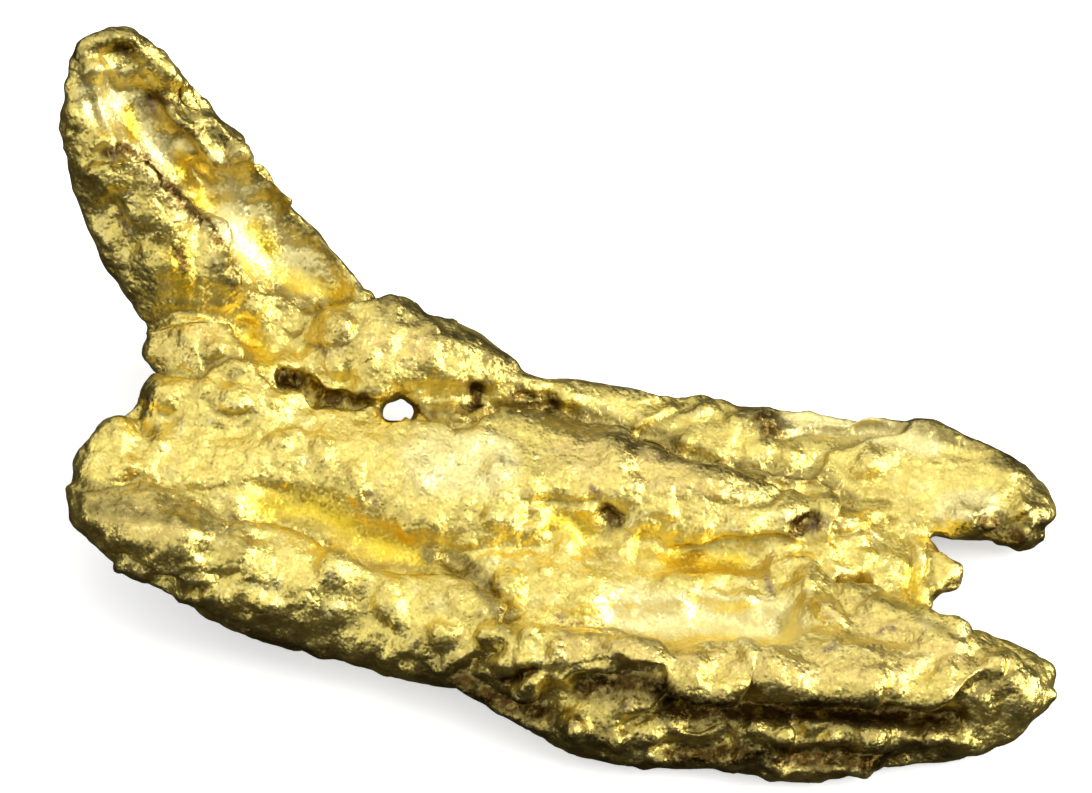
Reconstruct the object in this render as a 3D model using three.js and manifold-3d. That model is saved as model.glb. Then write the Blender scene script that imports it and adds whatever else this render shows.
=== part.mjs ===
// A small natural gold nugget: one piece of metal, folded and beaten by a stream bed into
// a long ribbed slab with a forked right end and a gutter-shaped wing that rises from its left back.
// Millimetres. +X runs along the slab to the fork, +Y to the back, +Z up. The origin is under the
// middle of the nugget, which rests on z = 0.
import * as THREE from 'three';
import { mergeVertices } from 'three/addons/utils/BufferGeometryUtils.js';
import { ImprovedNoise } from 'three/addons/math/ImprovedNoise.js';
import Module from 'manifold-3d';

// Driving dimensions
const RING_STEP = 0.8; // along a strand, between two rings of vertices
const FEWEST_RINGS = 4; // on the shortest strand
const CAP_RINGS = 3; // rings that round off each end of a strand
const SLIM_SIDES = 8; // sides of a strand up to SLIM_WIDTH
const BROAD_SIDES = 12; // sides of a broader one
const SLIM_WIDTH = 1; // half width
const WEAR_SIZE = 1.7; // length of one dent of the beaten surface
const WEAR_DEPTH = 0.22; // how far the dents move a strand's surface
const WEAR_SHIFTS = [[0, 0, 0], [11, 0, 0], [0, 17, 0]]; // apart in the noise, one for each axis
const FOOT_CUT = 0.3; // how much is worn flat where the nugget rests
const GROUND_SIZE = 60; // a block wider than the nugget, which cuts the feet
const GROUND_DEPTH = 10;
const WELD = 1e-4; // vertices closer than this are one

// The nugget is a bundle of strands. Each row is [x, y, z, half width, half thickness] of one section.
const strands = {
  // The slab: its inner mass, its broad top and the valley in front of that
  core: [
    [-9.5, -0.8, 2.3, 1.3, 0.8], [-8, -0.8, 1.9, 2.7, 1], [-5, -0.8, 1.5, 3.4, 1.1],
    [-2, -1.2, 1.3, 3.8, 1.1], [1, -1.8, 1.2, 4, 1], [4, -2.2, 1.1, 3.8, 0.9],
    [6.5, -2.4, 1, 3, 0.8], [8, -2.7, 0.9, 2, 0.6],
  ],
  plateau: [
    [-10.8, -0.7, 3, 0.9, 0.9], [-9.5, -0.2, 2.9, 1.6, 1], [-8, -0.3, 2.7, 2.1, 1.1],
    [-5.5, -0.3, 2.6, 2.2, 1.1], [-3, -0.4, 2.5, 2.2, 1.1], [-1, -0.6, 2.4, 1.9, 1.1],
    [1, -0.8, 2.3, 1.5, 1.1], [3, -1.1, 2.1, 1.1, 1], [5, -1.4, 1.9, 0.9, 0.9],
    [6.8, -1.4, 1.5, 0.6, 0.8],
  ],
  left_end: [[-10.8, -1.2, 2.8, 0.8, 0.8], [-9.5, -1.1, 2.5, 1.2, 0.9]],
  valley: [
    [-7.5, -2.1, 1.8, 1.1, 0.9], [-4, -2.4, 1.7, 1.4, 0.9], [-1.5, -3, 1.6, 1.7, 1],
    [1, -3.4, 1.4, 1.8, 1], [4, -3.6, 1.3, 1.7, 1], [6.5, -3.9, 1.1, 1.5, 0.9], [8.3, -4.3, 1, 1.1, 0.8],
  ],
  // Its front edge: a roll at the left, a crest over a keel at the right
  front_roll: [
    [-10.9, -1.8, 2.9, 0.7, 0.7], [-10, -2.2, 2.8, 1.1, 1.1], [-9, -2.7, 2.6, 1.1, 1.2],
    [-7, -3.2, 2, 1.2, 1.3], [-5, -3.5, 1.4, 1.1, 1.4], [-3, -4.1, 1.3, 1.4, 1.4],
    [-1.5, -4.8, 1.5, 1.2, 1.1], [-0.5, -5.3, 1.6, 0.8, 0.8],
  ],
  front_crest: [
    [-1.2, -5.4, 2.4, 0.8, 0.7], [1, -5.9, 2.5, 0.8, 0.8], [3.5, -6.2, 2.4, 0.9, 0.8],
    [4.6, -6, 2.2, 0.8, 0.7], [6, -6, 2.3, 0.9, 0.8], [8.5, -6, 2, 0.8, 0.8],
    [10.2, -6, 1.6, 0.9, 0.8], [11.2, -5.9, 1.3, 0.8, 0.7],
  ],
  keel: [
    [-2, -5.5, 1.4, 0.6, 0.7], [-0.5, -6.1, 1.1, 0.8, 0.8], [1, -6.6, 0.9, 0.9, 1],
    [3.5, -6.8, 0.8, 0.9, 0.9], [6, -7, 0.8, 0.9, 1], [8, -6.8, 0.8, 0.9, 0.9],
    [9.5, -6.6, 0.8, 0.9, 0.8], [10.7, -6.4, 0.9, 0.8, 0.7],
  ],
  keel_back: [
    [-2, -4.9, 1.5, 1.1, 1], [1, -5.8, 1.6, 1.1, 0.9], [4, -6.1, 1.5, 1.2, 0.9],
    [8, -6.1, 1.4, 1.1, 0.8], [10.4, -5.9, 1.1, 0.8, 0.6],
  ],
  // The fork at the right: a lower prong, a thin web and a sheet that ends in a hook
  lower_prong: [
    [5.6, -3.4, 1.6, 0.6, 0.7], [7.3, -4.2, 1.5, 0.9, 0.8], [9, -4.9, 1.3, 0.9, 0.8],
    [10.5, -5.2, 1.2, 0.9, 0.7], [11.3, -5.4, 1.1, 0.8, 0.6],
  ],
  prong_flap: [[9, -4.3, 1.1, 0.5, 0.4], [10.2, -4.5, 1, 0.6, 0.4], [11.2, -5, 0.9, 0.5, 0.4]],
  thin_web: [[6.6, -2.1, 1.3, 0.9, 0.5], [7.8, -2.2, 1.1, 1.3, 0.5], [9, -2.4, 0.9, 1, 0.4]],
  nub: [[9, -2.2, 0.9, 0.4, 0.4], [9.5, -2.2, 0.8, 0.5, 0.4]],
  upper_sheet: [
    [-0.5, 1.9, 2, 0.7, 0.9], [1.5, 1.7, 1.7, 0.9, 0.8], [4, 1.2, 1.5, 1.2, 0.7],
    [6.5, 0.7, 1.3, 1.5, 0.6], [8.5, 0.2, 1.2, 1.5, 0.6], [10.3, -0.1, 1.1, 1.2, 0.6],
    [11.3, -0.4, 0.9, 0.9, 0.5],
  ],
  sheet_root: [[1.5, 0.5, 1.2, 1, 0.8], [4.5, -0.1, 1.1, 1.2, 0.7], [7.5, -0.8, 1, 1.3, 0.6]],
  sheet_rim: [
    [0, 2.2, 2.2, 0.3, 0.3], [2, 2.1, 2.1, 0.3, 0.3], [4.5, 1.8, 1.7, 0.3, 0.3],
    [7, 1.7, 1.7, 0.3, 0.3], [9.2, 1.4, 1.5, 0.3, 0.3], [11.1, 0.6, 1.2, 0.3, 0.3],
  ],
  hook: [[10.3, -0.3, 1.1, 0.8, 0.6], [11.3, -0.5, 0.8, 0.7, 0.6], [11.1, -0.7, 0.5, 0.6, 0.5]],
  // Behind the slab: a mound, two folds at the left and the mass under them
  mound: [
    [-6.1, 2.6, 3.1, 0.7, 0.7], [-5, 2.6, 3.4, 1.2, 1], [-3.7, 2.5, 3.3, 1.4, 1.1],
    [-2.5, 2.3, 3, 1.2, 1], [-1.3, 2, 2.6, 0.7, 0.8], [0, 1.9, 2.2, 0.4, 0.6],
  ],
  mound_boss: [[-5.4, 2.6, 3.9, 0.5, 0.5], [-4.9, 2.5, 4, 0.5, 0.5]],
  fold_upper: [
    [-9.6, 2.2, 3.9, 0.5, 0.5], [-8.5, 2.1, 4, 0.9, 0.7], [-7.5, 1.9, 3.8, 0.8, 0.7],
    [-6.4, 1.6, 3.3, 0.6, 0.7],
  ],
  fold_lower: [
    [-9.4, 1, 3.6, 0.6, 0.6], [-8.5, 0.9, 3.6, 0.9, 0.8], [-7, 0.9, 3.4, 1, 0.9],
    [-5.8, 0.7, 2.9, 0.8, 0.8],
  ],
  back_mass: [
    [-8.4, 1.9, 2.5, 1, 1], [-6, 2.1, 2.1, 1.5, 1.4], [-3.5, 1.7, 1.9, 1.4, 1.3],
    [-1, 1.1, 1.7, 1, 1.1], [1, 0.6, 1.5, 0.8, 0.9],
  ],
  heel: [[-8.2, 3.7, 1.5, 0.9, 1.1], [-6.8, 3.9, 1.1, 1.3, 1.4], [-5.6, 3.5, 1.1, 1.1, 1.2]],
  // The wing: its floor, its back, the lobe on its near side and the rims on both sides
  wing: [
    [-6, 3.3, 2.7, 2.1, 1.4], [-7.4, 4.2, 4.1, 2, 1.2], [-8.6, 5.1, 5.7, 1.8, 1],
    [-9.6, 5.9, 7.2, 1.5, 0.8], [-10.3, 6.6, 8.3, 1.3, 0.7], [-10.5, 7.3, 9.1, 0.9, 0.6],
  ],
  wing_back: [
    [-6, 4.3, 2.9, 1.5, 1], [-7.8, 5.4, 4.9, 1.4, 0.9], [-9.1, 6.4, 7.1, 1.2, 0.6],
    [-10, 7.1, 8.5, 0.8, 0.4],
  ],
  near_lobe: [
    [-10.8, 5.6, 7.2, 0.5, 0.5], [-10.4, 5.1, 6.6, 0.9, 0.8], [-9.5, 4.4, 5.8, 1.2, 1],
    [-8.7, 3.8, 4.9, 1.4, 1], [-7.9, 3.4, 4.1, 1, 0.9], [-7, 3, 3.5, 0.6, 0.6],
  ],
  left_rim: [
    [-11.1, 7.1, 9, 0.6, 0.6], [-11.5, 6.4, 8.1, 0.5, 0.7], [-11, 5.2, 6.8, 0.6, 0.8],
    [-10.4, 4.2, 5.4, 0.7, 0.8], [-9.6, 3.2, 4.3, 0.6, 0.7],
  ],
  right_rim: [
    [-10.1, 7.4, 8.9, 0.5, 0.6], [-9.4, 6.9, 8.5, 0.5, 0.6], [-8.8, 6, 7.7, 0.7, 0.7],
    [-7.7, 5.6, 6.8, 0.5, 0.6], [-6.7, 4.9, 5.6, 0.5, 0.6], [-5.7, 4.2, 4.6, 0.5, 0.6],
    [-4.7, 3.5, 3.8, 0.5, 0.6],
  ],
};

// Hollows are cut out of the bundle in the same way.
const hollows = {
  gutter: [
    [-10.4, 6.5, 9.7, 0.6, 0.7], [-9.9, 6, 9, 1, 0.9], [-9, 5.3, 7.9, 1.2, 0.9],
    [-7.9, 4.6, 6.6, 1.3, 0.9], [-6.7, 4, 5.4, 1.2, 0.8], [-5.5, 3.5, 4.5, 0.7, 0.6],
  ],
  lobe_pit: [[-9, 3.2, 5.9, 0.3, 0.4], [-8.7, 3, 5.4, 0.3, 0.4]],
  left_notch: [[-11.6, 0.7, 3.7, 0.3, 0.5], [-10.1, 0.7, 3.6, 0.3, 0.5]],
  crevice: [
    [-7, 1.6, 4.7, 0.2, 0.5], [-6.2, 1.4, 4.3, 0.2, 0.5], [-5, 1.2, 4.1, 0.2, 0.5],
    [-3.9, 1.1, 3.9, 0.3, 0.6], [-2, 1.3, 3.5, 0.2, 0.5], [0, 1.3, 3.1, 0.2, 0.4],
  ],
  eye: [[-3.8, -2.3, 7.9, 0.5, 0.4], [-3.8, 5.8, -3.7, 0.5, 0.4]],
};

const wasm = await Module();
wasm.setup();
const wear = new ImprovedNoise();
const { clamp, lerp } = THREE.MathUtils;

// A closed body from a geometry of three.js.
function solidOf(geometry) {
  const bare = geometry.clone();
  bare.deleteAttribute('normal');
  bare.deleteAttribute('uv');
  const merged = mergeVertices(bare, WELD);
  return new wasm.Manifold(new wasm.Mesh({
    numProp: 3,
    vertProperties: merged.attributes.position.array,
    triVerts: new Uint32Array(merged.index.array),
  }));
}

// Moves a point by the dents of the beaten surface.
function dent(point) {
  const places = WEAR_SHIFTS.map((shift) => shift.map((s, axis) => s + point.getComponent(axis) / WEAR_SIZE));
  const [dx, dy, dz] = places.map((place) => WEAR_DEPTH * wear.noise(...place));
  return point.add(new THREE.Vector3(dx, dy, dz));
}

// A strand is a sphere drawn out along a curve, with an oval section that changes along it.
function strand(sections) {
  const curve = new THREE.CatmullRomCurve3(sections.map(([x, y, z]) => new THREE.Vector3(x, y, z)));
  const last = sections.length - 1;
  const rings = Math.max(FEWEST_RINGS, Math.round(curve.getLength() / RING_STEP));
  const widest = Math.max(...sections.map((section) => section[3]));
  const sides = widest > SLIM_WIDTH ? BROAD_SIDES : SLIM_SIDES;
  const rows = rings + 2 * CAP_RINGS;
  const geometry = new THREE.SphereGeometry(1, sides, rows);
  const { position, uv } = geometry.attributes;
  for (let i = 0; i < position.count; i++) {
    const row = Math.round((1 - uv.getY(i)) * rows);
    const turn = uv.getX(i) * 2 * Math.PI;
    const along = clamp((row - CAP_RINGS) / rings, 0, 1);
    const beyond = clamp(row / CAP_RINGS - 1, -1, 0) + clamp((row - CAP_RINGS - rings) / CAP_RINGS, 0, 1);
    const span = Math.min(Math.floor(along * last), last - 1);
    const share = along * last - span;
    const wide = lerp(sections[span][3], sections[span + 1][3], share);
    const thick = lerp(sections[span][4], sections[span + 1][4], share);
    const ahead = curve.getTangent(along);
    const side = new THREE.Vector3(-ahead.y, ahead.x, 0).normalize();
    const up = new THREE.Vector3().crossVectors(ahead, side);
    const round = Math.cos(beyond * Math.PI / 2);
    const point = curve.getPoint(along)
      .addScaledVector(ahead, Math.sin(beyond * Math.PI / 2) * thick)
      .addScaledVector(side, -Math.cos(turn) * wide * round)
      .addScaledVector(up, Math.sin(turn) * thick * round);
    position.setXYZ(i, ...dent(point).toArray());
  }
  return solidOf(geometry);
}

// Joins the strands, cuts the hollows and wears the feet flat.
function nuggetGeometry() {
  let body = Object.values(strands).map(strand).reduce((all, one) => all.add(one));
  body = Object.values(hollows).map(strand).reduce((all, one) => all.subtract(one), body);
  const groundTop = body.boundingBox().min[2] + FOOT_CUT;
  const ground = new THREE.BoxGeometry(GROUND_SIZE, GROUND_SIZE, GROUND_DEPTH);
  ground.translate(0, 0, groundTop - GROUND_DEPTH / 2);
  const { vertProperties, triVerts } = body.subtract(solidOf(ground)).getMesh();
  const geometry = new THREE.BufferGeometry();
  geometry.setAttribute('position', new THREE.BufferAttribute(vertProperties, 3));
  geometry.setIndex(new THREE.BufferAttribute(triVerts, 1));
  geometry.computeBoundingBox();
  const box = geometry.boundingBox;
  const middle = box.getCenter(new THREE.Vector3());
  geometry.translate(-middle.x, -middle.y, -box.min.z);
  geometry.computeVertexNormals();
  return geometry;
}

const gold = new THREE.MeshStandardMaterial({ color: 0xd9a92e, roughness: 0.32, metalness: 1 });
const nugget = new THREE.Mesh(nuggetGeometry(), gold);
nugget.name = 'nugget';

const part = new THREE.Group();
part.add(nugget);
export default part;
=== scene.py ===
# %% [markdown]
# A small natural gold nugget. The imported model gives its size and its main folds: a long ribbed
# slab with a forked right end, and a gutter-shaped wing that rises from its left back corner.
# This script loads that frame and gives the metal its beaten relief, its grain and its colour.

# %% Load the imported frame
import math

import bmesh
import bpy
import numpy as np
from mathutils import Matrix, Vector, noise
from mathutils.bvhtree import BVHTree


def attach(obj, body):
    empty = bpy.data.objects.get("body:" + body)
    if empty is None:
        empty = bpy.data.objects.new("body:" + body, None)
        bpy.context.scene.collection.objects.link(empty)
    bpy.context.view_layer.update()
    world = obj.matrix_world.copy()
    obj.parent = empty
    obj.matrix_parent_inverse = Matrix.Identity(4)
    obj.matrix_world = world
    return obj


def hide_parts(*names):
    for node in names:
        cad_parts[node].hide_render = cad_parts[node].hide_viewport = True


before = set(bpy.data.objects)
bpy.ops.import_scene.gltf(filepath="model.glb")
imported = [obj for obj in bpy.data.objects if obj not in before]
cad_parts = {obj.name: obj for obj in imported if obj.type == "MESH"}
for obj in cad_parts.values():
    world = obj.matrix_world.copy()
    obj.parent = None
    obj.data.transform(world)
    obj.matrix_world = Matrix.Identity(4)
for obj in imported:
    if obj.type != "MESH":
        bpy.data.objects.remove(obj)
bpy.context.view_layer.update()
MM = 0.001

# %% [markdown]
# The camera comes first, because the relief is modelled from its side. It looks down at 55 degrees
# through a very long lens, as a close-up taken from far away does, so the folds keep their sizes
# from front to back. A short lens would swell whatever is nearest.

# %% Camera
LOOK_DOWN = math.radians(55)
VIEW_WIDTH = 26.2 * MM
VIEW_MIDDLE = Vector((-0.25, 2.97)) * MM
CAMERA_DISTANCE = 0.6
SENSOR = 36
toward_camera = Vector((0, -math.cos(LOOK_DOWN), math.sin(LOOK_DOWN)))
across = Vector((1, 0, 0))
up_the_view = toward_camera.cross(across)

camera_data = bpy.data.cameras.new("long_lens")
camera_data.sensor_width = SENSOR
camera_data.lens = SENSOR * CAMERA_DISTANCE / VIEW_WIDTH
camera_data.clip_start = 0.01
camera_data.clip_end = 10
camera = bpy.data.objects.new("camera", camera_data)
bpy.context.scene.collection.objects.link(camera)
turn = Matrix((across, up_the_view, toward_camera)).transposed().to_4x4()
looked_at = across * VIEW_MIDDLE.x + up_the_view * VIEW_MIDDLE.y
camera.matrix_world = Matrix.Translation(looked_at + toward_camera * CAMERA_DISTANCE) @ turn
bpy.context.scene.camera = camera
print("lens in mm:", round(camera_data.lens))

# %% [markdown]
# The nugget is one lump of metal, so it is one mesh. The faceted frame copy is merged and then
# remeshed into small even squares, which is how a sculptor starts: every part of the surface can
# then take relief of the same fineness. Remeshing leaves loose crumbs beside thin rims, which are
# taken off. The work is done in millimetres and scaled back at the end.

# %% Copy the frame's nugget and remesh it evenly
VOXEL = 0.097
MERGE_METRES = 2e-6


def evaluated_mesh(thing):
    """The thing's mesh with its modifiers applied."""
    graph = bpy.context.evaluated_depsgraph_get()
    return bpy.data.meshes.new_from_object(thing.evaluated_get(graph))


def without_crumbs(mesh):
    """Deletes every shape in the mesh but the largest."""
    shape = bmesh.new()
    shape.from_mesh(mesh)
    unvisited = set(shape.verts)
    shapes = []
    while unvisited:
        joined = [unvisited.pop()]
        for vertex in joined:
            others = {edge.other_vert(vertex) for edge in vertex.link_edges} & unvisited
            unvisited -= others
            joined.extend(others)
        shapes.append(joined)
    shapes.sort(key=len)
    crumbs = [vertex for joined in shapes[:-1] for vertex in joined]
    bmesh.ops.delete(shape, geom=crumbs, context="VERTS")
    shape.to_mesh(mesh)
    shape.free()
    print("crumbs taken off:", len(shapes) - 1)


def even_copy(source, name):
    """A merged copy of a frame node, remeshed in even squares, in millimetres."""
    mesh = source.data.copy()
    shape = bmesh.new()
    shape.from_mesh(mesh)
    bmesh.ops.remove_doubles(shape, verts=shape.verts, dist=MERGE_METRES)
    bmesh.ops.scale(shape, vec=Vector((1, 1, 1)) / MM, verts=shape.verts)
    shape.to_mesh(mesh)
    shape.free()
    piece = bpy.data.objects.new(name, mesh)
    bpy.context.scene.collection.objects.link(piece)
    remesh = piece.modifiers.new("even squares", "REMESH")
    remesh.mode = "VOXEL"
    remesh.voxel_size = VOXEL
    even = evaluated_mesh(piece)
    without_crumbs(even)
    piece.modifiers.clear()
    piece.data = even
    return piece


gold_lump = even_copy(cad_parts["nugget"], "gold_lump")
lump_mesh = gold_lump.data
print("even squares:", len(lump_mesh.polygons))

# %% [markdown]
# Sculpting by script means moving many vertices at once. The helpers below hold all places in one
# array, smooth it along the mesh's edges, and work out which way each point of the surface faces.
# A sculpt brush would do the same, one dab at a time.

# %% Helpers for moving the surface
count = len(lump_mesh.vertices)
places = np.empty(count * 3)
lump_mesh.vertices.foreach_get("co", places)
places = places.reshape(-1, 3)
edges = np.empty(len(lump_mesh.edges) * 2, int)
lump_mesh.edges.foreach_get("vertices", edges)
starts, ends = edges.reshape(-1, 2).T
squares = np.array([list(polygon.vertices) for polygon in lump_mesh.polygons])
neighbours = np.bincount(edges, minlength=count)


def spread(values):
    """The mean of each vertex's neighbours, of a number or of a place."""
    if values.ndim > 1:
        return np.stack([spread(column) for column in values.T], axis=1)
    total = np.bincount(starts, values[ends], count) + np.bincount(ends, values[starts], count)
    return total / neighbours


def smoothed(values, rounds):
    """Values after sliding half way to their neighbours' mean, again and again."""
    for _ in range(rounds):
        values = (values + spread(values)) / 2
    return values


def facing(points):
    """Unit normals of the surface at its vertices."""
    corners = points[squares]
    flat = np.cross(corners[:, 2] - corners[:, 0], corners[:, 3] - corners[:, 1])
    total = [np.bincount(squares.ravel(), np.repeat(flat[:, axis], 4), count) for axis in range(3)]
    total = np.stack(total, axis=1)
    return total / np.linalg.norm(total, axis=1, keepdims=True)


def lumps(points, size, octaves=2):
    """Smooth hills and dips between about -1 and 1."""
    return np.array([noise.fractal(Vector(p) / size, 1.0, 2.0, octaves) for p in points])


print("vertices:", count, "edges:", len(starts))

# %% [markdown]
# Which parts can be seen from the camera? A ray from each point towards it tells. The seen parts
# get drawn folds, so they keep the frame's forms. The others are softened far more, until no
# strand of the frame shows, and later get stronger lumps of their own. Softening shrinks thin metal
# first, so thin places are softened less, and a limit holds back how far any point moves.

# %% Find the seen parts and soften the others
START_SMOOTHING = 12
HIDDEN_SMOOTHING = 90
HIDDEN_MOVE = 0.3
TINY = 0.001
FACING_SMOOTHING = 4
SEEN_BLUR = 4
STOUT_BLUR = 8
HIDDEN_BLUR = 12
FOOT_HEIGHT = 0.5
FOOT_STILL = 0.4
STOUT = 1.2
OUTSIDE = 0.06
INSIDE = 0.05
GRAZING = 0.05
NO_WALL = 9


def seen_from(points, normals, direction):
    """1 where a point faces the viewer and nothing stands between them, 0 elsewhere."""
    tree = BVHTree.FromPolygons(points.tolist(), squares.tolist())
    outside = points + OUTSIDE * normals
    clear = [tree.ray_cast(Vector(start), direction)[0] is None for start in outside]
    return (np.array(clear) & (normals @ np.array(direction) > GRAZING)).astype(float)


def thickness(points, normals):
    """How far it is through the metal, straight in from each point."""
    tree = BVHTree.FromPolygons(points.tolist(), squares.tolist())
    inward = -normals
    inside = points + INSIDE * inward
    walls = [tree.ray_cast(Vector(start), Vector(way))[3] for start, way in zip(inside, inward)]
    return np.array([wall or NO_WALL for wall in walls])


rough_places = smoothed(places, START_SMOOTHING)
normals = facing(smoothed(rough_places, FACING_SMOOTHING))
seen = smoothed(seen_from(rough_places, normals, toward_camera), SEEN_BLUR)
above_feet = np.clip(places[:, 2] / FOOT_HEIGHT - FOOT_STILL, 0, 1)
stout = smoothed(np.clip(thickness(rough_places, normals) / STOUT, 0, 1) ** 2, STOUT_BLUR)
hidden = smoothed((1 - seen) * above_feet, HIDDEN_BLUR)[:, None] * stout[:, None]
soft_places = smoothed(rough_places, HIDDEN_SMOOTHING)
move = soft_places - rough_places
distance = np.linalg.norm(move, axis=1, keepdims=True)
move *= np.minimum(1, HIDDEN_MOVE / np.maximum(distance, TINY))
places = rough_places + move * hidden
print("share seen:", round(float(seen.mean()), 2), "share stout:", round(float(stout.mean()), 2))

# %% [markdown]
# The folds, lips and cracks that give this nugget its face all lie on the side seen from the
# camera, so they are drawn there, as a sculptor works from one side. Each is a line on the tilted
# view plane, in millimetres to the right of and above the origin. What is pressed in or raised
# along a line is only the metal that can be seen from that side. The lines wander a little, because
# nothing on a nugget is straight.

# %% Lines on the view plane
WANDER = 0.1
WANDER_SIZE = 0.7
LIP_STEP = 0.14
view_axes = np.array([across, up_the_view])


def on_view_plane(points):
    """Places on the view plane, with a little wander."""
    wander = np.stack([lumps(points + shift, WANDER_SIZE) for shift in (5, 9)], axis=1)
    return points @ view_axes.T + WANDER * wander


def along_line(line):
    """Distance of each vertex from a line, and the side it is on: 1 is to the left of its course."""
    best = np.full(count, 1e9)
    side = np.ones(count)
    for start, end in zip(np.array(line[:-1]), np.array(line[1:])):
        step = end - start
        from_start = drawn - start
        share = np.clip(from_start @ step / (step @ step), 0, 1)
        apart = np.linalg.norm(from_start - share[:, None] * step, axis=1)
        nearer = apart < best
        best[nearer] = apart[nearer]
        side[nearer] = np.sign(step[0] * from_start[nearer, 1] - step[1] * from_start[nearer, 0])
    return best, side


def stroke(width, line):
    """A soft brush mark along a line: 1 on the line, 0 at its width."""
    apart, _ = along_line(line)
    return np.clip(1 - (apart / width) ** 2, 0, 1) ** 2


def lip(raised_side, width, line):
    """A fold over its neighbour: 1 at the line on the raised side, falling away over the width."""
    apart, side = along_line(line)
    signed = apart * side * raised_side
    return np.clip(0.5 + signed / LIP_STEP, 0, 1) * np.clip(1 - np.abs(signed) / width, 0, 1) ** 1.5


def dab(right, up, radius):
    """A round brush mark: 1 in its middle, 0 at its radius."""
    apart = np.linalg.norm(drawn - (right, up), axis=1)
    return np.clip(1 - (apart / radius) ** 2, 0, 1)


drawn = on_view_plane(places)
print("view plane from", drawn.min(axis=0).round(1), "to", drawn.max(axis=0).round(1), "mm")

# %% [markdown]
# Some joints of the frame's strands are straighter than anything on a nugget. They are melted away
# first, right through the metal but not at the feet it rests on. Each row is a width, how often the
# metal there is smoothed, and a line.

# %% Melted joints
melted = [
    (1.1, 110, [(3.2, -3), (5, -3), (7, -3), (9.4, -3.1)]),
    (1.1, 150, [(6.3, -2.5), (7.5, -2.6), (9.6, -2.8)]),
    (1, 120, [(-9.1, 6.4), (-8.9, 5.9)]),
    (0.8, 40, [(2.6, -0.9), (4.6, -1.1), (5.4, -1.1)]),
    (0.9, 40, [(2.6, -5.3), (5, -5), (7, -5.1), (9.4, -5.1)]),
    (0.7, 40, [(-11, 10), (-10, 9.2), (-9, 8.3), (-8.3, 7.3)]),
    (0.6, 30, [(-7.5, 7.8), (-6.8, 6.8), (-5.6, 5.8)]),
    (0.5, 40, [(-7.2, 8.5), (-6.5, 7.9), (-6, 7.3), (-5.2, 6.6), (-4.5, 6)]),
    (0.7, 30, [(-7, 0.5), (-5.4, 0.1), (-3.6, -0.8)]),
    (0.6, 30, [(6.8, 0.8), (8.2, 0.8), (9.8, 0.8)]),
    (0.7, 100, [(-6.5, 3.4), (-5.8, 3.1), (-4.9, 2.9)]),
]
print("joints to melt:", len(melted))

# %% [markdown]
# Then the broad swells and hollows: a width, a height (a depth where negative) and a line each.

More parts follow.
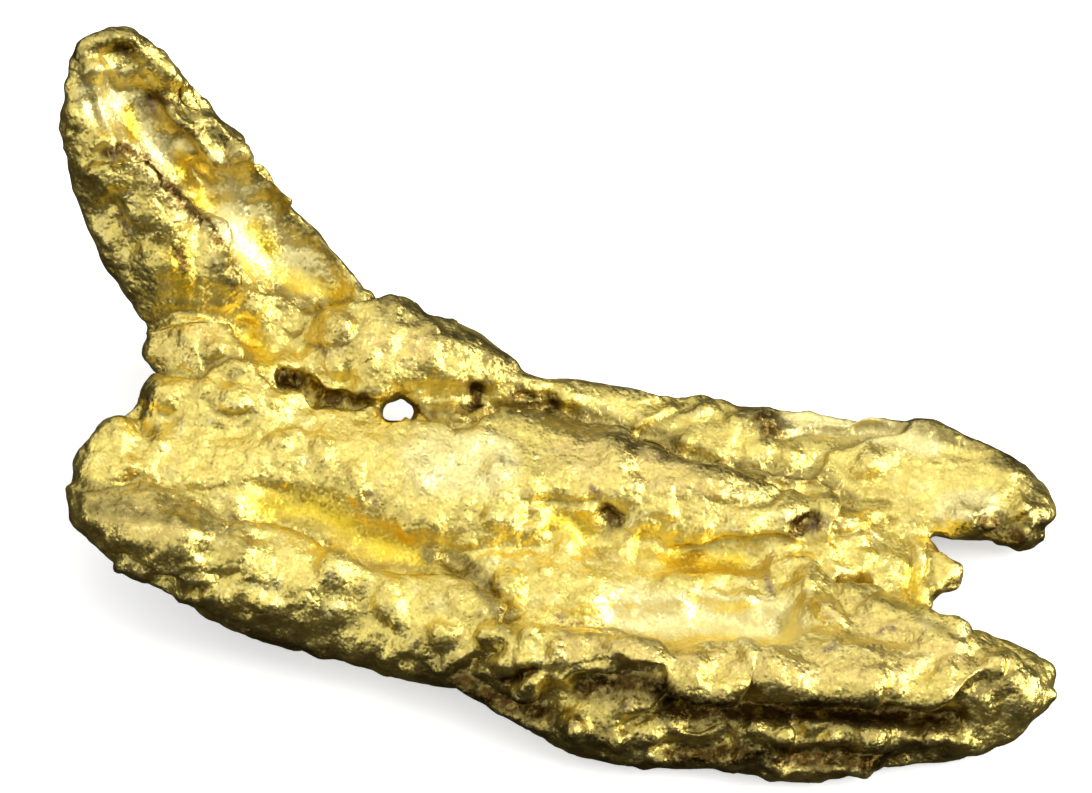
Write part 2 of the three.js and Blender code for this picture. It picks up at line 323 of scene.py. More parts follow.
# %% Soft swells and hollows
swells = [
    # the wing: its tip, floor, right-hand lumps and near lobe
    (0.4, 0.2, [(-11.3, 11.2), (-10.7, 11.5), (-10.2, 11.4)]),
    (0.4, -0.25, [(-11, 11.1), (-10.3, 11)]),
    (0.4, 0.15, [(-9.7, 11.2), (-9.3, 10.7)]),
    (0.8, -0.25, [(-10.5, 10), (-9.8, 9.2), (-9, 8.3), (-8.3, 7.4)]),
    (0.5, 0.5, [(-9.2, 9.8), (-8.7, 9.5), (-8.2, 9.1)]),
    (0.4, 0.35, [(-8.8, 8.8), (-8.1, 8.8), (-7.7, 8.8)]),
    (0.5, 0.15, [(-10.7, 8.2), (-9.9, 7.3), (-9.4, 6.9)]),
    (0.5, -0.2, [(-10.7, 7.4), (-10.2, 6.7)]),
    (0.8, 0.3, [(-9.2, 6.2), (-9, 5.9)]),
    # the gap between the folds and the mound
    (0.35, -0.25, [(-7.4, 4.6), (-7.1, 4.2), (-6.8, 3.8)]),
    # the pool, the valley, the left edge and the roll
    (1, -0.3, [(-6.8, 0.5), (-5.8, 0.4), (-4.8, -0.1), (-3.7, -0.7)]),
    (0.7, -0.25, [(-0.4, 0.2), (0.5, 0), (1.3, 0)]),
    (0.8, -0.15, [(2.2, -0.8), (3.5, -1), (4.6, -1.1)]),
    (0.5, 0.25, [(-10.9, 2.1), (-10.5, 2.1)]),
    (0.7, -0.2, [(1.5, -2.3), (3.5, -2.4), (5.2, -2.5)]),
    (0.6, 0.2, [(-11, 0.1), (-10, -0.3), (-8.9, -0.4)]),
    (0.5, -0.15, [(-8.4, -0.9), (-7.9, -1.3)]),
    # the sheet: two ridges and a knob
    (0.3, 0.2, [(1.9, 2.2), (2.6, 2.5), (3.5, 2.7)]),
    (0.4, 0.25, [(4.3, 2.3), (5, 2.4)]),
    (0.25, 0.15, [(7.1, 1.1), (7.6, 1.3), (8.1, 1.6)]),
    # the valley: a low ridge, the fold that ends it and a dip
    (0.25, 0.15, [(2.6, -1.4), (4, -1.3), (5, -1.4)]),
    (0.4, 0.25, [(5.8, -1.1), (6.1, -2), (6.7, -2.5)]),
    (0.5, -0.15, [(3.4, -2), (4.1, -2.2)]),
    # the sheet again: two long facets and its rounded back edge
    (0.5, -0.2, [(5.8, 2.3), (7, 2.3)]),
    (0.7, -0.15, [(7, 0.7), (8, 0.7), (9.9, 0.8)]),
    (0.4, 0.15, [(9, 2), (10, 1.8), (11, 1.1)]),
    # the crest and the prong, and a groove at the pool's right-hand end
    (0.6, 0.2, [(3.4, -3.1), (4.6, -3.2)]),
    (0.8, 0.35, [(6, -2.6), (7.5, -2.7), (9.4, -2.8)]),
    (0.6, 0.25, [(5.2, -3.5), (5.7, -3.6)]),
    (0.35, -0.2, [(-2.6, -0.8), (-2, -1.3), (-1.6, -1.6), (-1.2, -2.2)]),
    # the front wall: dark recess, lit ledge
    (0.4, -0.35, [(-2.3, -3.7), (-1.5, -4.3), (-0.2, -4.6)]),
    (0.4, -0.4, [(0.6, -4), (1.5, -3.9), (2.4, -4), (3.2, -4.6)]),
    (0.4, -0.5, [(2.8, -4.5), (3.6, -4.6), (4.4, -4.5)]),
    (0.35, -0.55, [(4.7, -4.4), (6, -4.5), (7.2, -4.6), (8.4, -4.7), (9.4, -4.7)]),
    (0.3, 0.2, [(4.6, -4.7), (5, -5), (5.5, -5.1)]),
    (0.35, 0.3, [(7.2, -5), (7.6, -5.1)]),
    (0.3, 0.2, [(8.3, -5.1), (8.9, -5.1), (9.6, -5.3)]),
    (0.4, -0.2, [(5.7, -5), (6.2, -5.1)]),
    (0.5, -0.4, [(2.6, -5.5), (3.6, -5.6), (4, -5.2)]),
    (0.4, -0.35, [(5.8, -5.6), (7.2, -5.7), (9, -5.7)]),
    (0.5, -0.35, [(-0.4, -4.2), (0.4, -4.2), (1, -4.1)]),
]
print("swells and hollows:", len(swells))

# %% [markdown]
# Then the round grains and knobs that stand out one by one. Each has four numbers: its place to the
# right and up, its radius and its height. They all rise together with KNOB_RISE.

# %% Knobs
KNOB_RISE = 1.3
knobs = [
    (-11, 10.8, 0.4, 0.15), (-8, 8.9, 0.25, 0.1), (-8.8, 8.9, 0.25, 0.1), (-8.7, 7.8, 0.35, 0.2),
    (-10.3, 6.8, 0.3, 0.1), (-9.8, 6.6, 0.3, 0.1), (-8.3, 6.7, 0.35, 0.15),
    (-5.3, 4.6, 0.45, 0.2), (-4, 4.3, 0.3, 0.1), (-2.9, 4.2, 0.3, 0.1), (-5.4, 3.5, 0.3, 0.1),
    (-8.5, 4.3, 0.6, 0.15), (-7.7, 2.9, 0.4, 0.2), (-9.4, 2.9, 0.4, 0.15), (-9.5, 1.8, 0.25, 0.1),
    (-8.5, 1.9, 0.25, 0.1), (-6.5, 1.8, 0.45, 0.15), (-5.6, 1.6, 0.35, 0.15), (-6.9, 2.3, 0.3, 0.1),
    (-4.8, 1.2, 0.25, 0.1), (-4.7, 0.7, 0.25, 0.12), (-8.1, 0.4, 0.15, 0.1), (-7.7, 0.2, 0.15, 0.1),
    (-3.3, 1.1, 0.45, 0.12), (-2.7, 1.6, 0.3, 0.1), (-1.4, 1.2, 0.4, 0.12), (-2.1, 1.9, 0.3, 0.1),
    (-0.7, 1.1, 0.3, 0.1), (-1.5, 0.1, 0.25, 0.12), (-3.5, -0.3, 0.3, 0.15), (-0.4, 0.3, 0.3, 0.12),
    (0.2, -0.6, 0.35, 0.15), (-0.5, -0.3, 0.3, 0.12), (-1.5, -0.9, 0.25, 0.12), (-1.1, -1.5, 0.4, 0.15),
    (-0.3, -1.2, 0.25, 0.1), (0.7, -1.9, 0.35, 0.12), (1.7, -0.6, 0.3, 0.15), (2.3, -0.8, 0.3, 0.12),
    (2.3, 1.6, 0.35, 0.15), (1.4, 1.4, 0.35, 0.1), (3.4, -0.2, 0.3, 0.12), (4.3, 0, 0.4, 0.12),
    (5.6, 0.2, 0.35, 0.12), (6.4, 0.3, 0.3, 0.12), (4.5, -1.6, 0.35, 0.1), (5.3, -1, 0.3, 0.12),
    (-5.4, -1.2, 0.45, 0.18), (-6.2, -1.6, 0.3, 0.12), (-7.7, -0.7, 0.3, 0.12), (-7.9, -1.9, 0.2, 0.15),
    (-7.4, -2.4, 0.15, 0.12), (-8.7, -1.4, 0.15, 0.1), (-5.2, -2.2, 0.3, 0.12), (-6.1, -2.3, 0.25, 0.12),
    (-4, -2, 0.5, 0.18), (-2.6, -2.7, 0.4, 0.18), (-1.7, -2.7, 0.25, 0.18), (-2.4, -1.9, 0.3, 0.1),
    (-0.6, -2.8, 0.35, 0.1), (0, -3.3, 0.3, 0.15), (-0.7, -3.9, 0.4, 0.3), (2.3, -3.2, 0.3, 0.12),
    (3.4, -3.7, 0.4, 0.15), (4.1, -3.7, 0.35, 0.12), (5.3, -3.5, 0.5, 0.15), (7.5, -3.8, 0.4, 0.12),
    (9.1, -3.7, 0.4, 0.12), (6.7, -1.3, 0.3, 0.12), (7.7, -2.3, 0.3, 0.1), (6.4, -2.3, 0.35, 0.1),
    (7.4, -0.9, 0.3, 0.08), (8.2, -1, 0.25, 0.08), (8.8, -0.8, 0.3, 0.1), (8.9, -1.6, 0.3, 0.1),
    (9.5, -1.2, 0.35, 0.1), (7.5, 1.4, 0.35, 0.1), (5.6, 1.6, 0.35, 0.12), (9.7, 0.2, 0.4, 0.1),
    (7.3, -3.7, 0.6, 0.15), (11.3, 0.2, 0.3, 0.12), (10.2, -2.8, 0.35, 0.08), (3.3, 1.9, 0.3, 0.12),
    (1.8, -4.4, 0.25, 0.15), (2.3, -5.1, 0.3, 0.15), (0.5, -5, 0.35, 0.15), (1.3, -4.8, 0.25, 0.12),
    (4.6, -4.9, 0.3, 0.15), (5.4, -5.1, 0.3, 0.2), (7.5, -5.1, 0.4, 0.25), (8.9, -5.1, 0.3, 0.15),
    (5.2, -5.9, 0.35, 0.1), (6.6, -5.2, 0.25, 0.1), (0.4, -4.9, 0.4, 0.2), (1.4, -5.2, 0.3, 0.2),
    (4.5, -3.3, 0.3, 0.12), (3.9, -4, 0.25, 0.15), (3.2, -3.6, 0.35, 0.15), (5.9, -4, 0.3, 0.12),
    (1.9, -3.1, 0.35, 0.12), (11, -4.3, 0.6, 0.15), (11.1, 0.3, 0.3, 0.15), (11.2, -0.4, 0.25, 0.12),
]
print("knobs:", len(knobs))

# %% [markdown]
# Then the folds that lie over their neighbours. Each has the side of its line that stands higher,
# the width over which it falls away, its height and its line. A crease runs along each as well. The
# sides are named for lines that run to the right, and LEFT for one that runs up.

# %% Lips
ABOVE, LEFT, BELOW = 1, 1, -1
lips = [
    # the near lobe over the gutter, and the step inside the wing's left rim
    (BELOW, 1.1, 0.6, [(-10.9, 8.6), (-10.5, 8.8), (-10, 8.6), (-9.5, 8), (-9, 7.5), (-8.5, 7.2),
                       (-8.1, 6.8), (-7.9, 6.3)]),
    (ABOVE, 0.8, 0.2, [(-9.7, 10.2), (-9.3, 9.7), (-8.9, 9.2), (-8.4, 8.5), (-7.8, 8.5), (-7.4, 8.6)]),
    (BELOW, 0.9, 0.25, [(-7.8, 6), (-7.4, 5.6), (-6.6, 5.4), (-6, 5)]),
    # the two left folds, the mound and the crevice under it
    (BELOW, 0.9, 0.3, [(-9.7, 4.7), (-9, 5), (-8.5, 5), (-8, 4.8), (-7.6, 4.4), (-7.3, 3.9)]),
    (BELOW, 0.8, 0.2, [(-9.9, 3.5), (-9.2, 3.5), (-8.5, 3.5), (-8.2, 3.8), (-7.8, 3.9), (-7.3, 3.8),
                       (-7, 3.4), (-6.5, 3.2)]),
    (ABOVE, 0.9, 0.25, [(-6.6, 3.5), (-6, 3.3), (-5.6, 3), (-5, 2.9), (-4.3, 3)]),
    (BELOW, 0.8, 0.2, [(-5.9, 4.9), (-5.5, 5.2), (-5, 5.3), (-4, 5.3)]),
    # the plateau's back edge, from the eye to the fork
    (BELOW, 0.9, 0.2, [(-3.4, 2.4), (-2.2, 2.2), (-1.5, 2.6), (-0.3, 2.6), (0.5, 2.5), (1, 2.4),
                       (1.5, 2.1)]),
    (BELOW, 1, 0.3, [(1.5, 2), (2.1, 1.9), (2.6, 1.9), (3, 1.6), (3.5, 1.4), (4.2, 1.2), (4.8, 1.1),
                     (5.4, 0.9), (5.8, 1.1), (6.3, 1.1), (6.7, 0.8), (6.8, 0.4), (6.7, -0.2), (6.7, -0.6)]),
    # the roll, the valley's banks and the crest
    (BELOW, 1, 0.25, [(-11.5, 0.9), (-11.1, 0.7), (-10.5, 0.9), (-9.8, 0.9), (-9.1, 0.7), (-8.5, 0.4),
                      (-8, 0.1), (-7.4, -0.1), (-6.4, -0.1), (-5.8, -0.4), (-5, -0.9)]),
    (BELOW, 0.9, 0.25, [(-4.8, -1), (-4.2, -1.1), (-3.4, -1.2), (-2.8, -1.2), (-2, -1.4), (-1.5, -1.9),
                        (-1.2, -2.4)]),
    (ABOVE, 0.7, 0.2, [(2.9, -0.6), (3.5, -0.6), (4.2, -0.4), (5, -0.4), (5.5, -0.5)]),
    (BELOW, 0.8, 0.15, [(0.4, -2.6), (1.4, -2.6), (2.2, -2.9), (2.9, -3.1)]),
    (ABOVE, 0.9, 0.45, [(1.4, -3.4), (2.4, -3.6), (2.8, -4.1), (4.2, -4.3), (4.5, -4), (4.7, -3.8),
                        (5, -4.1), (5.9, -4.3), (7.6, -4.3), (8.9, -4.5), (9.5, -4.2), (10.2, -3.8)]),
    # the prong over the web
    (BELOW, 1, 0.35, [(6.2, -1.2), (6.9, -1.6), (7.6, -1.8), (8.3, -2.1), (9, -2.5), (9.6, -2.8),
                      (10.3, -3), (10.9, -3.3), (11.3, -3.6)]),
    # the sheet's facets
    (LEFT, 0.4, 0.15, [(5.3, 2), (5.3, 2.6)]),
    (ABOVE, 0.6, 0.25, [(5.4, 2), (6.2, 2.1), (7, 2.1), (7.7, 2.3)]),
    (BELOW, 0.8, 0.25, [(6.2, 1.3), (6.4, 1.6), (7, 1.8), (7.7, 2.1), (8.3, 2.2)]),
    (ABOVE, 0.5, 0.15, [(6.8, 0.6), (7.2, 0.4), (7.9, 0.4)]),
    (ABOVE, 0.4, 0.12, [(2, 2.1), (2.4, 2.3), (2.9, 2.6), (3.6, 2.8)]),
]
LIP_CREASE = (0.14, -0.2)
print("lips:", len(lips))

# %% [markdown]
# Last the cracks, pits and creases: a width, a depth and a line each.

# %% Cracks and pits
cracks = [
    (0.5, -0.45, [(-8.6, 10.2), (-8.5, 10.1)]),
    (0.35, -0.25, [(-7.1, 8.3), (-7, 8.2)]),
    (0.2, -0.15, [(-11.1, 10), (-11, 9.6), (-10.8, 9.3)]),
    (0.25, -0.2, [(-8, 6.5), (-7.9, 6)]),
    (0.16, -0.15, [(-10.6, 10.5), (-10.3, 10.2), (-9.9, 10.3)]),
    (0.2, -0.2, [(-10.4, 11.3), (-10.2, 11.1)]),
    (0.2, -0.3, [(-8.7, 8.5), (-8.5, 8.2), (-8.3, 8)]),
    (0.2, -0.5, [(-6.5, 3.5), (-6.1, 3.4), (-5.9, 3.2), (-5.7, 3)]),
    (0.16, -0.4, [(-5.6, 2.9), (-5.2, 2.8), (-4.6, 2.8), (-4.3, 2.8)]),
    (0.12, -0.25, [(-3.4, 2.7), (-2.6, 2.3), (-2.1, 2.4), (-1.5, 2.7), (-0.3, 2.7), (0.5, 2.6)]),
    (0.2, -0.25, [(-1.9, 3.1), (-1.9, 2.9)]),
    (0.2, -0.3, [(-0.8, 3), (-0.6, 3)]),
    (0.2, -0.3, [(-0.2, 3), (-0.1, 2.8)]),
    (0.2, -0.4, [(-10, 2.4), (-9.8, 2.2)]),
    (0.12, -0.2, [(-8.3, 2.9), (-8.1, 2.6), (-7.7, 2.5), (-7.4, 2.6)]),
    (0.1, -0.15, [(-8.4, 3.7), (-8.5, 4.2)]),
    (0.1, -0.12, [(-6, 4.3), (-5.7, 4.1), (-5.2, 4.1), (-4.8, 4.3), (-4.6, 4.8)]),
    (0.1, -0.12, [(-5.1, 1.4), (-5, 0.9), (-4.5, 0.6)]),
    (0.3, -0.12, [(-2.8, -0.8), (-2.2, -1.1)]),
    (0.25, -0.35, [(-2.1, -3.5), (-1.7, -3.2), (-1.4, -3)]),
    (0.12, -0.2, [(-1.2, -3.8), (-0.9, -3.6), (-0.5, -3.5)]),
    (0.3, -0.3, [(1.2, 0.2), (1.4, 0)]),
    (0.12, -0.15, [(-0.4, 0.5), (0.3, 0.4), (1, 0.5)]),
    (0.3, -0.2, [(5.8, -0.2), (6.1, 0)]),
    (0.12, -0.15, [(3.6, 0.5), (4.3, 0.4), (5, 0.4), (5.4, 0.7)]),
    (0.12, -0.2, [(6.7, -0.1), (6.6, -0.5)]),
    (0.12, -0.15, [(6.8, -0.4), (7.3, -0.2), (8, 0)]),
    (0.22, -0.7, [(7, -1.5), (7.4, -1.5)]),
    (0.12, -0.2, [(8.3, -0.3), (8.5, -0.8), (8.4, -1.6), (8.7, -2.1)]),
    (0.12, -0.15, [(9, -0.6), (8.9, -1.3), (9.1, -1.9)]),
    (0.2, -0.2, [(5, 2.5), (5.1, 2.1)]),
    (0.15, -0.2, [(4.7, -4.2), (4.7, -3.9)]),
    (0.3, -0.4, [(1.6, -3.7), (2.3, -3.8)]),
    (0.15, -0.25, [(1.7, -4.9), (2.2, -4.6), (2.8, -4.4)]),
    (0.2, -0.3, [(3.2, -5), (3.8, -4.9)]),
    (0.15, -0.2, [(5.7, -4.8), (5.8, -5.3)]),
    (0.25, -0.4, [(-9.6, -1.5), (-9.2, -1.5)]),
    (0.2, -0.3, [(-8.7, -1.8), (-8.5, -1.6)]),
    (0.14, -0.15, [(-10.9, -0.8), (-10.3, -0.8), (-9.9, -1.1)]),
    (0.16, -0.2, [(-10.8, 8.7), (-10.3, 8.9), (-9.8, 8.6), (-9.4, 8.1), (-8.9, 7.6), (-8.4, 7.2)]),
]
print("cracks and pits:", len(cracks))

# %% [markdown]
# The joints are melted first, and what can be seen is worked out again. Then the marks are pressed
# in from broad to fine, with the surface's facing worked out again between, so that a crack on the
# side of a swell goes into that side.

# %% Press the marks into the metal
PRESS_SMOOTHING = 3


def pressed(points, marks):
    """The points after the seen metal has moved along its own facing by the marks' heights."""
    return points + facing(smoothed(points, PRESS_SMOOTHING)) * (marks * seen)[:, None]


for width, rounds, line in melted:
    share = (stroke(width, line) ** 0.5 * above_feet)[:, None]
    places = places + (smoothed(places, rounds) - places) * share
normals = facing(smoothed(places, FACING_SMOOTHING))
seen = smoothed(seen_from(places, normals, toward_camera), SEEN_BLUR)
drawn = on_view_plane(places)
places = pressed(places, sum(height * stroke(width, line) for width, height, line in swells))
places = pressed(places, KNOB_RISE * sum(rise * dab(right, up, radius) for right, up, radius, rise in knobs))
places = pressed(places, sum(height * lip(side, width, line) for side, width, height, line in lips))
places = smoothed(places, 1)
crease_width, crease_depth = LIP_CREASE
places = pressed(places, sum(crease_depth * stroke(crease_width, line) for _, _, _, line in lips))
places = pressed(places, sum(depth * stroke(width, line) for width, depth, line in cracks))
places = smoothed(places, 1)
print("box in mm:", places.min(axis=0).round(2), places.max(axis=0).round(2))

# %% [markdown]
# Sheltered floors have lost their grain, or never had much. They are marked first, with the same
# brush, so that the relief that comes next can leave them smoother.

# %% Where the metal is smooth
calm_strokes = [
    (0.9, [(-10.8, 10.2), (-9.8, 9.2), (-8.9, 8.2)]),
    (0.7, [(-7.8, 8), (-7.5, 7.2), (-7, 6.5), (-6.2, 5.8)]),
    (0.8, [(-6.8, 0.4), (-5.7, 0.2), (-4.6, -0.3), (-3.6, -0.8)]),
    (0.5, [(-11, 0), (-9.6, -0.4), (-8, -0.6)]),
    (0.5, [(5.6, 2.3), (6.5, 2.3), (7.5, 2.3), (9, 1.9)]),
    (0.5, [(7.8, 0.8), (9.8, 0.8)]),
    (0.5, [(0.5, -0.2), (2.5, -1.2), (4.4, -1)]),
    (0.6, [(1.5, -2.4), (3.5, -2.3), (5.4, -2.4)]),
]
drawn = on_view_plane(places)
calm = np.clip(sum(stroke(width, line) ** 0.5 for width, line in calm_strokes), 0, 1) * seen
print("share smooth:", round(float(calm.mean()), 2))

# %% [markdown]
# Water and gravel have beaten the metal into soft lumps, and on them the gold keeps the rounded
# grains it grew with. A sculptor would dab thousands of them. Here noise gives wide dents, and a
# Voronoi pattern gives domed grains side by side at three sizes, each as high as chance made it.
# The sides that no drawn fold reaches get deeper lumps. Thin rims and the feet get little.

# %% Lumps and grains
HIDDEN_LUMPS = (2.4, 0.32)
LUMPS = (1.3, 0.09)
GRAINS = [(0.9, 0.12), (0.5, 0.14), (0.33, 0.08)]
GRAIN_BEND = 0.1
GRAIN_BEND_SIZE = 0.6
PATCH_SIZE = 2.2
RELIEF_SMOOTHING = 6
CALM_TAKES_LUMPS = 0.5
CALM_TAKES_GRAINS = 0.6
HIDING_TAKES_GRAINS = 0.5
THIN_KEEPS = 0.3
FOOT_KEEPS = 0.1
FOOT_DAMPING = 0.4


def grains(points, size):
    """Rounded grains side by side: domes, each with a height of its own, and 0 between them."""
    heights = np.empty(count)
    for k, point in enumerate(points / size):
        apart, centres = noise.voronoi(Vector(point))
        own = 0.7 + 0.5 * noise.cell(centres[0] * 9)
        heights[k] = own * max(0, 1 - 1.5 * apart[0] ** 2) ** 1.5
    return heights


normals = facing(smoothed(places, RELIEF_SMOOTHING))
bends = [lumps(places + shift, GRAIN_BEND_SIZE, 1) for shift in (3, 7, 13)]
bent = places + GRAIN_BEND * np.stack(bends, axis=1)
patchy = np.clip(0.8 + 0.9 * lumps(places + 31, PATCH_SIZE), 0.2, 1.4)
broad_size, broad_depth = HIDDEN_LUMPS
relief = broad_depth * lumps(places + 17, broad_size) * hidden[:, 0]
lump_size, lump_depth = LUMPS
relief += lump_depth * lumps(places, lump_size) * (1 - CALM_TAKES_LUMPS * calm)
uncalmed = 1 - CALM_TAKES_GRAINS * calm
open_share = 1 - HIDING_TAKES_GRAINS * hidden[:, 0]
for grain_size, grain_height in GRAINS:
    grain = grains(bent, grain_size)
    relief += grain_height * (grain - grain.mean()) * patchy * uncalmed * open_share
relief *= np.clip(places[:, 2] / FOOT_DAMPING, FOOT_KEEPS, 1) * (THIN_KEEPS + (1 - THIN_KEEPS) * stout)
places = smoothed(places + normals * relief[:, None], 1)
places[:, 2] = np.maximum(places[:, 2], 0)
print("relief in mm:", round(float(relief.min()), 2), "to", round(float(relief.max()), 2))

# %% [markdown]
# The look changes over a nugget. Gold looks warm where folds light each other, and that bounce
# light is painted here as a warmer gold. Rims and slopes that face away from the lamps, and the front
# wall, are painted a dark brown as painted shade. A painter would lay these on as washes. They are
# marked here with the same brush: each row is a width and a line.

# %% Marks of painted bounce light and of painted shade
# painted bounce light
bounce_light_marks = [
    (0.7, [(-6.9, 0.4), (-5.9, 0.4), (-5, -0.1), (-4.2, -0.6), (-3.2, -0.9)]),
    (0.5, [(-9, 6.3), (-8.9, 5.6)]),
    (0.3, [(-10.2, 9.8), (-10.1, 9.2)]),
    (0.5, [(-9, 8.4), (-8.7, 7.9), (-8.4, 7.6)]),
    (0.5, [(-7.2, 7), (-6.9, 6.5)]),
    (0.5, [(-6.6, 5.8), (-5.9, 5.6), (-5.3, 5.4)]),
    (0.35, [(-7.3, 4.4), (-6.9, 3.8)]),
    (0.5, [(0, 0), (0.7, -0.2)]),
    (0.5, [(2.8, -0.9), (3.6, -1.1), (4.3, -1)]),
    (0.4, [(8.5, -1.2), (8.6, -1.9)]),
]
# painted shade on rims and slopes that face away from the lamps, and on the front wall
away_shade_marks = [
    # the wing: its tip, its right-hand lumps, its right rim and the lip at its foot
    (0.5, [(-11.4, 11.2), (-10.8, 11.6), (-10.1, 11.3)]),
    (0.6, [(-9.5, 10), (-8.9, 9.6), (-8.2, 9.4), (-7.8, 9.2)]),
    (0.3, [(-7, 8.2), (-6.3, 7.3), (-5.4, 6.4), (-4.6, 5.9), (-4, 5.4)]),
    (0.4, [(-8, 6.1), (-7.4, 5.6), (-6.5, 5.3), (-5.8, 5.1)]),
    # back slopes of the mound, of the plateau and of the sheet
    (0.5, [(-4, 5.1), (-2.6, 4.6), (-1.8, 4.1), (-0.8, 3.5)]),
    (0.35, [(-3.4, 2.7), (-2, 2.6), (-0.5, 2.7), (1, 2.5)]),
    (0.5, [(0.6, 2.4), (1.3, 2.2), (2, 1.9), (2.8, 1.8), (3.5, 1.4)]),
    (0.4, [(3.5, 1.4), (4.2, 1.2), (5.3, 1.1), (6.4, 1), (7, 0.4)]),
    (0.5, [(4.7, 2.5), (5.3, 2.2)]),
    (0.4, [(8, 2.5), (9.2, 2.2), (10.3, 1.8), (11.2, 1.2), (11.6, 0.4)]),
    (0.5, [(10.2, 0), (10.9, -0.2), (11.6, -0.3)]),
    # the roll's upper face and its underside
    (0.6, [(-11, 0.5), (-9.8, 0.4), (-8.6, 0.1), (-7.6, -0.3)]),
    (0.4, [(-11, -1), (-9.6, -1.9), (-7.6, -2.7), (-5.4, -3.5)]),
    # the pool's right-hand end
    (0.4, [(-3, -0.8), (-2, -1.2), (-1.5, -1.8), (-1.1, -2.4)]),
    # the front wall
    (0.7, [(-2.8, -3.6), (-1.6, -4.2), (0, -4.8), (1.6, -5.4)]),
    (0.6, [(0.7, -3.9), (1.8, -4), (2.8, -4.6), (5, -4.6), (7, -4.6), (9.6, -4.9)]),
    (0.6, [(1.5, -5.8), (4, -5.7), (6, -5.6), (9, -5.6)]),
    (0.4, [(9.7, -4.1), (10.3, -3.8), (11, -3.8)]),
]
print("warm and tarnish marks:", len(bounce_light_marks), len(away_shade_marks))

# %% [markdown]
# Painted light: open floors, and the brightest part of the plateau, are painted a paler gold, as
# if more light fell on them. The rest of the plateau, the mound, the crest and the prong are a duller
# tan.

# %% Marks of painted light and of tanned gold
painted_light_marks = [
    (0.9, [(-10.7, 10.2), (-9.8, 9.3), (-9, 8.4), (-8.2, 7.6)]),
    (0.9, [(-7.9, 8.2), (-7.5, 7.2), (-6.8, 6.4), (-5.8, 5.8)]),
    (0.8, [(1.5, -2.1), (3.4, -2.2), (5.4, -2.4)]),
    (0.5, [(5.6, 2.3), (7, 2.3), (9, 1.9)]),
    (1, [(-3, 1.4), (-1.6, 1.4)]),
    (0.5, [(9.4, 0.3), (10.3, 0.4)]),
]
tan_marks = [
    # the plateau's right half, the mound, the crest, the prong and the roll's upper face
    (0.9, [(0.4, 1.6), (2, 1.3), (4, 0.7)]),
    (0.8, [(-5, 4.4), (-3, 4)]),
    (0.7, [(0.4, -2.9), (2.4, -3.2), (5, -3.4), (8, -3.6)]),
    (0.7, [(6.6, -2.2), (8.4, -2.9), (9.8, -3.2)]),
    (0.8, [(-10.6, 0.2), (-9, -0.2)]),
    (0.6, [(-9.2, 4.2), (-8.4, 4.4)]),
    (0.5, [(-9, 7.6), (-8.3, 7)]),
]
print("pale and tan marks:", len(painted_light_marks), len(tan_marks))

# %% [markdown]
# Soil is left in some pits as a dark stain, and the same dark colour is painted shade in deep
# joints, in the recess under the crest and along the near lobe's edge. A few small specks of another
# mineral still sit in the skin of the gold. Neither stain nor mineral has a thickness that shows, so
# both are made in the material and not as pieces.

# %% Marks of stain and painted shade, and of mineral
stain_and_shade_marks = [
    (0.25, [(-1.9, 3.2), (-1.9, 2.8)]),
    (0.3, [(-0.9, 3), (-0.1, 2.8)]),
    (0.3, [(1.2, 0.2), (1.5, 0)]),
    (0.2, [(-1.2, -3.8), (-0.5, -3.5)]),
    (0.3, [(-9.1, 6.4), (-8.9, 6.1)]),
    (0.25, [(-9.6, 10.1), (-9.3, 10)]),
    (0.3, [(-6.5, 3.4), (-6, 3.3), (-5.6, 3), (-5.2, 2.9)]),
    (0.35, [(2.9, -4.5), (4.4, -4.5), (6, -4.5), (7.2, -4.6), (8.4, -4.7), (9.6, -4.6)]),
    (0.35, [(0.6, -4), (1.5, -3.8), (2.5, -3.9), (3, -4.4)]),
    (0.35, [(2.8, -5.6), (4, -5.5), (5.8, -5.6), (7.2, -5.7), (9, -5.7)]),
    (0.3, [(-2.3, -3.8), (-1.5, -4.3), (-0.4, -4.5)]),
    (0.3, [(10.3, -0.1), (11, -0.4)]),
    (0.4, [(5.7, -0.2), (6.1, 0)]),
    (0.2, [(-10.8, 8.7), (-10.3, 8.9), (-9.8, 8.6), (-9.4, 8.1), (-8.9, 7.6), (-8.4, 7.2), (-8, 6.6)]),
    (0.2, [(-10.5, 11.3), (-10.2, 11.2)]),
    (0.3, [(4.8, 2.4), (5.2, 2.2)]),
    (0.2, [(-5.4, 2.9), (-4.5, 2.9)]),
]
mineral_marks = [
    (0.3, [(6.2, -0.3), (6.4, -0.1)]),
    (0.2, [(0.9, 0.8), (1, 0.7)]),
    (0.2, [(5, -1.4), (5.1, -1.8)]),
    (0.25, [(0.1, -2.4), (0.3, -2.6)]),
    (0.2, [(6.4, -3.1), (6.6, -3)]),
    (0.15, [(7.5, -2.7), (8.1, -2.5)]),
    (0.2, [(-4.4, 0.6), (-4.3, 0.5)]),
    (0.2, [(-5.6, 4.1), (-5.5, 4)]),
    (0.25, [(-9.8, 9.9), (-9.6, 9.8)]),
    (0.2, [(-10.7, 8.8), (-10.6, 8.7)]),
    (0.25, [(-10.4, 7.3), (-10.3, 7.1)]),
    (0.2, [(2.2, 1.6), (2.4, 1.6)]),
    (0.15, [(-7.7, 3.5), (-7.6, 3.5)]),
    (0.15, [(-1.8, -2.2), (-1.7, -2.2)]),
    (0.15, [(6.9, -0.4), (7.1, -0.4)]),
    (0.15, [(1.6, -4.4), (1.8, -4.2)]),
]
print("stain and mineral marks:", len(stain_and_shade_marks), len(mineral_marks))

# %% [markdown]
# The marks become masks, one number for each vertex, and so do the hollows, which are found by how
# far the surface lies below its smoothed self, and the creases, which follow the lips and cracks.
# Many of them place painted light and shade: painted shade in the hollows, along the creases, on
# slopes that face away and partly with the stains, painted light on open floors and in warm places.
# The masks ride on the mesh as attributes, so the pattern is part of the nugget and stays in
# place from every side.

